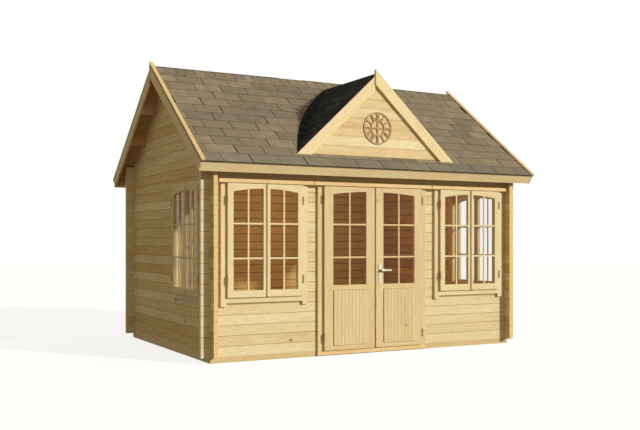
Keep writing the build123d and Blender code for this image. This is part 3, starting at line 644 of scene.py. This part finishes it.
for slope_name, half_turn, seed in (("front", 0, 5), ("back", pi, 12)):
    tab_mesh = grown_mesh(f"{slope_name}_shingle_tabs", courses, {**roof_values, "Seed": seed})
    tab_mesh.transform(Matrix.Rotation(half_turn, 4, "Z") @ Matrix.Translation((0, eave_y, eave_z))
                       @ Matrix.Rotation(roof_pitch, 4, "X"))
    placed(f"{slope_name}_shingle_tabs", tab_mesh)
    dress(slot_shade_slate, f"{slope_name}_shingles")

# Ridge shingles: short strips folded over the ridge, each lapping the next, nailed under the lap.
# They are cut from the same shingles as the slopes.
caps, given, step = geometry_tree("ridge caps", {
    "Length": 4.3, "Caps": 30, "Fold": 0.13, "Pitch": 0.6, "Thickness": 0.005, "Lift": 0.06, "Seed": 1,
    "Material": None})
cap_lap = 1.35
cap_swing = 0.012
cap_pitch = sum_of(step, "DIVIDE", given["Length"], given["Caps"])
half_length = half_of(step, sum_of(step, "SUBTRACT", given["Length"], cap_pitch))
line = step("GeometryNodeMeshLine", mode="END_POINTS", Count=given["Caps"],
            Start_Location=point(step, X=sum_of(step, "MULTIPLY", half_length, -1)),
            i3=point(step, X=half_length))
cap_size = point(step, X=sum_of(step, "MULTIPLY", cap_pitch, cap_lap), Y=given["Fold"], Z=given["Thickness"])
leaf = step("GeometryNodeTransform", Geometry=step("GeometryNodeMeshCube", Size=cap_size),
            Translation=point(step, Y=sum_of(step, "MULTIPLY", given["Fold"], -0.5),
                              Z=half_of(step, given["Thickness"])))
front_leaf = step("GeometryNodeTransform", Geometry=leaf, Rotation=point(step, X=given["Pitch"]))
back_leaf = step("GeometryNodeTransform", Geometry=front_leaf, Rotation=(0.0, 0.0, pi))
join = caps.nodes.new("GeometryNodeJoinGeometry")
caps.links.new(front_leaf, join.inputs[0])
caps.links.new(back_leaf, join.inputs[0])
swing = random_between(step, -cap_swing, cap_swing, Seed=given["Seed"])
folded = step("GeometryNodeInstanceOnPoints", Points=line, Instance=join.outputs[0],
              Rotation=point(step, Y=given["Lift"], Z=swing))
cap_tone = random_between(step, 0.0, 1.0, Seed=sum_of(step, "ADD", given["Seed"], tone_draw))
end_tree(caps, given, step, toned(step, folded, cap_tone))
ridge_low, ridge_high = [Vector(corner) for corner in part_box("ridge_shingles")]
cap_count = 34
cap_thickness = 0.005
cap_lift = 0.045
ridge_margin = 0.03
ridge_mesh = grown_mesh("ridge_caps", caps, {
    "Length": ridge_high.x - ridge_low.x - ridge_margin, "Caps": cap_count,
    "Fold": ridge_high.y / cos(roof_pitch), "Pitch": roof_pitch, "Thickness": cap_thickness,
    "Lift": cap_lift, "Seed": 4, "Material": roof_slate})
ridge_mesh.transform(Matrix.Translation((0, 0, ridge_high.z - 2 * cap_thickness)))
ridge_caps = placed("ridge_caps", ridge_mesh)
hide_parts("ridge_shingles")

# Cross gable: matched boards between two barge boards, with its own two slopes of near-black shingles.
# The shingles are dressed on to the main roof beyond each valley as a loose, bowed flap, where the
# courses show as faint paler lines: painted highlights where the butts would catch the light.
panel_light = (0.83, 0.67, 0.37, 1)
panel_dark = (0.60, 0.40, 0.17, 1)
steep_pitch = radians(43)
gable_low, gable_high = [Vector(corner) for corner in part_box("dormer_gable")]
gable_x = (gable_low.x + gable_high.x) / 2
panel_wood = pine_material("gable boards", level_grain("xzy"), panel_light, panel_dark, log_height,
                           gable_low.z, seed=61, joint=0.002)
dress(panel_wood, "dormer_gable")
gable_trim_wood = pine_material("gable barge boards",
                                pitched_grain("x", gable_x, steep_pitch, ("fall", "rise", "y")),
                                trim_light, trim_dark, seed=70)
dress(gable_trim_wood, "dormer_barge_left", "dormer_barge_right")
dress(roof_wood, "dormer_roof_left", "dormer_roof_right")
black_exposure = 0.145
black_granule = 0.6
black_pale = (0.062, 0.060, 0.052, 1)
black_deep = (0.005, 0.006, 0.008, 1)
black_patch = (0.016, 0.018, 0.018, 1)
black_slate = slate_material("black slate face", black_pale, black_deep, black_patch, black_pale,
                             black_granule)
flap_slate = slate_material("black slate flap", black_pale, black_deep, black_patch, black_pale,
                            black_granule, highlight_gap=black_exposure * sin(steep_pitch),
                            highlight_start=gable_high.z)
dress(flap_slate, "dormer_shingles_left", "dormer_shingles_right")


def trimmed(mesh, cuts):
    """Cuts closed shapes back to one side of each plane and closes them again."""
    shape = bmesh.new()
    shape.from_mesh(mesh)
    shape.faces.ensure_lookup_table()
    dressed = shape.faces[0].material_index
    for place, outward in cuts:
        whole = shape.verts[:] + shape.edges[:] + shape.faces[:]
        cut = bmesh.ops.bisect_plane(shape, geom=whole, plane_co=place, plane_no=outward, clear_outer=True)
        edges = [edge for edge in cut["geom_cut"] if isinstance(edge, bmesh.types.BMEdge)]
        for face in bmesh.ops.holes_fill(shape, edges=edges)["faces"]:
            face.material_index = dressed
    shape.to_mesh(mesh)
    shape.free()


slope_low, slope_high = [Vector(corner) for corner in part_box("dormer_shingles_right")]
gable_peak = Vector((gable_x, slope_low.y, slope_high.z))
roof_normal = Vector((0, -sin(roof_pitch), cos(roof_pitch)))
roof_place = Vector((0, eave_y, eave_z))
black_courses = 11
black_sink = 0.03
black_lift = 0.0012
black_length = slope_high.y - slope_low.y
black_values = {
    "Length": black_length, "Tabs": round(black_length / tab_width) + spare_tabs, "Courses": black_courses,
    "Tab": tab_width, "Exposure": black_exposure, "Slot": tab_slot, "Thickness": tab_thickness,
    "Sink": black_sink, "Material": black_slate}
slope_run = black_exposure * (black_courses - 1)
for side, side_name, seed in ((-1, "left", 3), (1, "right", 8)):
    up_slope = Vector((-side * cos(steep_pitch), 0, sin(steep_pitch)))
    off_slope = Vector((side * sin(steep_pitch), 0, cos(steep_pitch)))
    foot = gable_peak - slope_run * up_slope + Vector((0, black_length / 2, 0)) + black_lift * off_slope
    slope_axes = Matrix((up_slope.cross(off_slope), up_slope, off_slope)).transposed().to_4x4()
    black_mesh = grown_mesh(f"cross_gable_tabs_{side_name}", courses, {**black_values, "Seed": seed})
    black_mesh.transform(Matrix.Translation(foot) @ slope_axes)
    trimmed(black_mesh, [(gable_peak, Vector((-side, 0, 0))), (roof_place, -roof_normal)])
    placed(f"cross_gable_tabs_{side_name}", black_mesh)

# Clock dial: a plate cut out with a saw, stained brown and pinned on the gable boards.
# Its two rings, twelve numerals and star are one piece.
dial_light = (0.52, 0.32, 0.16, 1)
dial_dark = (0.32, 0.17, 0.075, 1)
dial_wood = pine_material("stained dial", level_grain("xzy"), dial_light, dial_dark, seed=81, knots=0.0)
dress(dial_wood, "clock_dial")

# Window and door joinery: frames, sashes and leaves of planed pine, stiles upright and rails level.
# The arched heads are cut from the rails; slim bars lie in front of a single sheet of glass.
joinery_light = (0.80, 0.655, 0.375, 1)
joinery_dark = (0.62, 0.43, 0.195, 1)
joinery_knots = 0.8
stile_pitch = 0.09
stile_shift = 0.37
rail_pitch = 0.4


def between(tree, value, low, high):
    """One where a value lies between two limits."""
    return math(tree, "MULTIPLY", math(tree, "GREATER_THAN", value, low),
                math(tree, "LESS_THAN", value, high))


def by_mask(tree, mask, inside, outside):
    """One value where the mask is one, and the other where it is zero."""
    return math(tree, "ADD", math(tree, "MULTIPLY", inside, mask),
                math(tree, "MULTIPLY", outside, math(tree, "SUBTRACT", 1.0, mask)))


def joinery_material(name, axis, depth, centres, upright, seed):
    """Pine that turns upright on the stiles: `upright` gives their reach from the middle of the pair."""
    def grain(tree):
        axes = axis_sockets(tree)
        level, height = axes[axis], axes["z"]
        away = level
        for centre in centres:
            away = math(tree, "ABSOLUTE", math(tree, "SUBTRACT", away, centre))
        mask = 0.0
        for low, high, low_z, high_z in upright:
            stile = math(tree, "MULTIPLY", between(tree, away, low, high),
                         between(tree, height, low_z, high_z))
            mask = math(tree, "MAXIMUM", mask, stile)
        stile_number = math(tree, "FLOOR", math(tree, "DIVIDE", level, stile_pitch))
        rail_number = math(tree, "FLOOR", math(tree, "DIVIDE", height, rail_pitch))
        shift = by_mask(tree, mask, math(tree, "MULTIPLY", stile_number, stile_shift), rail_number)
        along_it = math(tree, "ADD", by_mask(tree, mask, height, level), shift)
        return along_it, by_mask(tree, mask, level, height), axes[depth]
    return pine_material(name, grain, joinery_light, joinery_dark, seed=seed, knots=joinery_knots)


tall = (0.0, 9.0)
sash_half = 0.4475
meeting_stile = 0.05
outer_stile = 0.065
seam = 0.001
casing_reach = 2.0
sash_stiles = [(0.0, meeting_stile, *tall), (sash_half - outer_stile, sash_half + 2 * seam, *tall)]
casing_posts = [(sash_half + seam, casing_reach, *tall)]
window_low, window_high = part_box("front_right_window_frame")
window_x = (window_low[0] + window_high[0]) / 2
side_low, side_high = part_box("left_window_frame")
window_y = (side_low[1] + side_high[1]) / 2
front_frame_wood = joinery_material("front window frames", "x", "y", (0, window_x), casing_posts, seed=90)
dress(front_frame_wood, "front_left_window_frame", "front_right_window_frame")
front_sash_wood = joinery_material("front sashes", "x", "y", (0, window_x), sash_stiles, seed=93)
dress(front_sash_wood, "front_left_window_sashes", "front_right_window_sashes")
side_frame_wood = joinery_material("side window frames", "y", "x", (window_y,), casing_posts, seed=96)
dress(side_frame_wood, "left_window_frame", "right_window_frame")
side_sash_wood = joinery_material("side sashes", "y", "x", (window_y,), sash_stiles, seed=99)
dress(side_sash_wood, "left_window_sashes", "right_window_sashes")
# The head trims, door head and threshold share the fascias' paler colour: painted light that makes up for
# the eave's shade on the head trims.
trim_wood = pine_material("head trims", level_grain("xzy"), painted_light_pale, painted_light_deep, seed=103,
                          end_axis="x")
dress(trim_wood, "head_trims", "door_frame_head", "door_threshold")
post_board = 1.0
post_wood = pine_material("door posts", level_grain("zxy"), joinery_light, joinery_dark, post_board,
                          -post_board / 2, seed=105)
dress(post_wood, "door_frame_left", "door_frame_right")
leaf_low, leaf_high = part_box("right_door_leaf")
leaf_stile = 0.112
panel_low = 0.112
panel_high = 0.74
leaf_upright = [(0.0, leaf_low[0] + leaf_stile, *tall), (leaf_high[0] - leaf_stile, leaf_high[0], *tall),
                (0.0, leaf_high[0], panel_low, panel_high)]
leaf_wood = joinery_material("door leaves", "x", "y", (0,), leaf_upright, seed=110)
dress(leaf_wood, "left_door_leaf", "right_door_leaf")

# Leaf panels and meeting strips: narrow matched boards set in each leaf, and a planed strip pinned up
# the right-hand sash or leaf of every pair, beside the gap in the middle. Their edges are eased.
boards, given, step = geometry_tree("row of boards", {
    "Count": 9, "Pitch": 0.048, "Gap": 0.003, "Height": 0.6, "Thickness": 0.02, "Seed": 1, "Material": None})
board_slack = 0.0004
board_line = step("GeometryNodeMeshLine", mode="OFFSET", Count=given["Count"],
                  Start_Location=point(step, X=half_of(step, given["Pitch"])),
                  Offset=point(step, X=given["Pitch"]))
board_size = point(step, X=sum_of(step, "SUBTRACT", given["Pitch"], given["Gap"]), Y=given["Thickness"],
                   Z=given["Height"])
board_shape = step("GeometryNodeTransform", Geometry=step("GeometryNodeMeshCube", Size=board_size),
                   Translation=point(step, Y=sum_of(step, "MULTIPLY", given["Thickness"], -0.5),
                                     Z=half_of(step, given["Height"])))
board_slide = random_between(step, 0.0, board_slack, Seed=given["Seed"])
board_line = step("GeometryNodeSetPosition", Geometry=board_line, Offset=point(step, Y=board_slide))
row = step("GeometryNodeInstanceOnPoints", Points=board_line, Instance=board_shape)
end_tree(boards, given, step, row)


def eased(mesh, width):
    """Takes the sharp edges off every board."""
    shape = bmesh.new()
    shape.from_mesh(mesh)
    bmesh.ops.bevel(shape, geom=shape.edges[:], offset=width, segments=1, affect="EDGES", material=-1)
    shape.to_mesh(mesh)
    shape.free()


panel_recess = 0.010
panel_proud = 0.011
panel_gap = 0.0035
panel_boards = 9
board_gap = 0.0012
panel_edge = 0.0015
panel_width = leaf_high[0] - leaf_low[0] - 2 * leaf_stile - 2 * panel_gap
panel_values = {
    "Count": panel_boards, "Pitch": panel_width / panel_boards, "Gap": board_gap,
    "Height": panel_high - panel_low - 2 * panel_gap, "Thickness": panel_recess + panel_proud, "Seed": 2,
    "Material": leaf_wood}
for body, panel_x in (("left_leaf", -leaf_high[0] + leaf_stile), ("right_leaf", leaf_low[0] + leaf_stile)):
    panel_mesh = grown_mesh(f"{body}_panel", boards, panel_values)
    eased(panel_mesh, panel_edge)
    panel_mesh.transform(Matrix.Translation((panel_x + panel_gap, leaf_low[1] + panel_recess,
                                             panel_low + panel_gap)))
    placed(f"{body}_panel_boards", panel_mesh, body=body)
strip_width = 0.032
strip_thickness = 0.014
strip_end_gap = 0.004
strip_middle_gap = 0.0045
strip_edge = 0.004


def meeting_strip(name, box, place, turn, wood, body="root"):
    """An upright strip beside a meeting gap, on the face at `place`, turned to face outwards."""
    low_z, high_z = box[0][2], box[1][2]
    mesh = grown_mesh(name, boards, {
        "Count": 1, "Pitch": strip_width, "Gap": 0.0, "Thickness": strip_thickness, "Seed": 4,
        "Height": high_z - low_z - 2 * strip_end_gap, "Material": wood})
    eased(mesh, strip_edge)
    mesh.transform(Matrix.Translation((*place, low_z + strip_end_gap)) @ Matrix.Rotation(turn, 4, "Z")
                   @ Matrix.Translation((strip_middle_gap, 0, 0)))
    placed(name, mesh, body=body)


meeting_strip("leaf_strip", (leaf_low, leaf_high), (0, leaf_low[1]), 0, leaf_wood, "right_leaf")
for name in ("front_left_window", "front_right_window"):
    low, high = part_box(f"{name}_sashes")
    meeting_strip(f"{name}_strip", (low, high), ((low[0] + high[0]) / 2, low[1]), 0, front_sash_wood)
for name, turn in (("left_window", -pi / 2), ("right_window", pi / 2)):
    low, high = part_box(f"{name}_sashes")
    face = low[0] if turn < 0 else high[0]
    meeting_strip(f"{name}_strip", (low, high), (face, (low[1] + high[1]) / 2), turn, side_sash_wood)

# Glass: clear glass, one flat sheet behind the bars of each sash and leaf.
# It reflects very little, and its faces ripple slightly.
glass_index = 1.3
glass, tree = new_material("clear glass")
ripple = add(tree, "ShaderNodeBump", Strength=0.03, Distance=0.001,
             Height=pattern(tree, scale=4.0, detail=1.0))
pane = add(tree, "ShaderNodeBsdfPrincipled", Roughness=0.0, IOR=glass_index, Transmission_Weight=1.0,
           Base_Color=(0.96, 0.98, 0.97, 1), Normal=ripple.outputs[0])
clear = add(tree, "ShaderNodeBsdfTransparent", Color=(0.9, 0.92, 0.91, 1))
rays = add(tree, "ShaderNodeLightPath").outputs
passes = math(tree, "MAXIMUM", rays["Is Shadow Ray"], rays["Is Diffuse Ray"])
pane_mix = add(tree, "ShaderNodeMixShader", i0=passes, i1=pane.outputs[0], i2=clear.outputs[0])
add(tree, "ShaderNodeOutputMaterial", Surface=pane_mix.outputs[0])
dress(glass, "window_glass", "left_door_glass", "right_door_glass")

# Ironwork: butt hinges in yellow zinc, and a lever handle on long plates in brushed steel.
# Hinges and plates are screwed on; fine brush marks run up and down both metals.


def metal_material(name, dull, bright):
    """A brushed metal between two tones."""
    brush_fineness = 1800
    brush_length = 60
    brush_dulling = 0.3
    polish = 0.3
    material, tree = new_material(name)
    axes = axis_sockets(tree)
    place = vector(tree, math(tree, "MULTIPLY", axes["x"], brush_fineness),
                   math(tree, "MULTIPLY", axes["y"], brush_fineness),
                   math(tree, "MULTIPLY", axes["z"], brush_length))
    brushing = noise(tree, place)
    surface_of(tree, ramp(tree, brushing, [(0.3, dull), (0.7, bright)]), brushing, strength=0.15,
               distance=0.0003, Metallic=1.0,
               Roughness=math(tree, "MULTIPLY_ADD", brushing, brush_dulling, polish))
    return material


steel = metal_material("brushed steel", (0.34, 0.31, 0.26, 1), (0.52, 0.48, 0.41, 1))
dress(steel, "handle_plates", "door_lever")
zinc = metal_material("yellow zinc", (0.55, 0.42, 0.22, 1), (0.78, 0.63, 0.36, 1))
dress(zinc, "window_hinges", "door_frame_hinges", "left_leaf_hinges", "right_leaf_hinges")

# Screws: countersunk heads in rows, where casings, trims and the cross gable's barge boards are fixed.
# They run near the edges of casings and posts, and along the middle of the head trims.
screws, given, step = geometry_tree("row of screws", {
    "From": (0.0, 0.0, 0.0), "To": (1.0, 0.0, 0.0), "Turn": (0.0, 0.0, 0.0), "Count": 5, "Radius": 0.004,
    "Height": 0.0012, "Material": None})
taper = 0.8
line = step("GeometryNodeMeshLine", mode="END_POINTS", Count=given["Count"],
            Start_Location=given["From"], i3=given["To"])
head_shape = step("GeometryNodeMeshCone", Vertices=10, Radius_Bottom=given["Radius"],
                  Radius_Top=sum_of(step, "MULTIPLY", given["Radius"], taper), Depth=given["Height"])
row = step("GeometryNodeInstanceOnPoints", Points=line, Instance=head_shape, Rotation=given["Turn"])
end_tree(screws, given, step, row)
to_front = (pi / 2, 0.0, 0.0)
to_left = (0.0, -pi / 2, 0.0)
to_right = (0.0, pi / 2, 0.0)
head_radius = 0.0042
head_height = 0.0012
screw_rows = []


def screw_row(start, end, turn, count=5):
    """One straight row of heads, kept for the gathered piece."""
    screw_rows.append(grown_mesh("screw_row", screws, {
        "From": start, "To": end, "Turn": turn, "Count": count, "Radius": head_radius,
        "Height": head_height, "Material": steel}))


edge = 0.018
casing_foot = 0.08
casing_head = 0.09
for name in ("front_left_window_frame", "front_right_window_frame"):
    low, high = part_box(name)
    for x in (low[0] + edge, high[0] - edge):
        screw_row((x, low[1], low[2] + casing_foot), (x, low[1], high[2] - casing_head), to_front)
for name, turn in (("left_window_frame", to_left), ("right_window_frame", to_right)):
    low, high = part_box(name)
    face = low[0] if turn == to_left else high[0]
    for y in (low[1] + edge, high[1] - edge):
        screw_row((face, y, low[2] + casing_foot), (face, y, high[2] - casing_head), turn)
post_end = 0.1
for name in ("door_frame_left", "door_frame_right"):
    low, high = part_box(name)
    x = low[0] + edge if name.endswith("left") else high[0] - edge
    screw_row((x, low[1], low[2] + post_end), (x, low[1], high[2] - post_end), to_front, count=6)
window_trim_x = 0.82
door_trim_x = 0.78
trim_end = 0.06
trims_low, trims_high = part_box("head_trims")
trim_middle = (trims_low[2] + trims_high[2]) / 2
for start_x, end_x in ((trims_low[0], -window_trim_x), (-door_trim_x, door_trim_x),
                       (window_trim_x, trims_high[0])):
    screw_row((start_x + trim_end, trims_low[1], trim_middle), (end_x - trim_end, trims_low[1], trim_middle),
              to_front, count=4)
top_x = 0.12
bottom_x = 0.86
for side, name in ((-1, "dormer_barge_left"), (1, "dormer_barge_right")):
    barge_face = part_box(name)[0][1]
    for drop in (0.045, 0.12):
        ends = [(gable_x + side * x, barge_face, gable_peak.z - x * tan(steep_pitch) - drop)
                for x in (top_x, bottom_x)]
        screw_row(*ends, to_front)
heads = bmesh.new()
for row_mesh in screw_rows:
    heads.from_mesh(row_mesh)
head_mesh = bpy.data.meshes.new("screw_heads")
heads.to_mesh(head_mesh)
heads.free()
head_mesh.materials.append(steel)
placed("screw_heads", head_mesh)
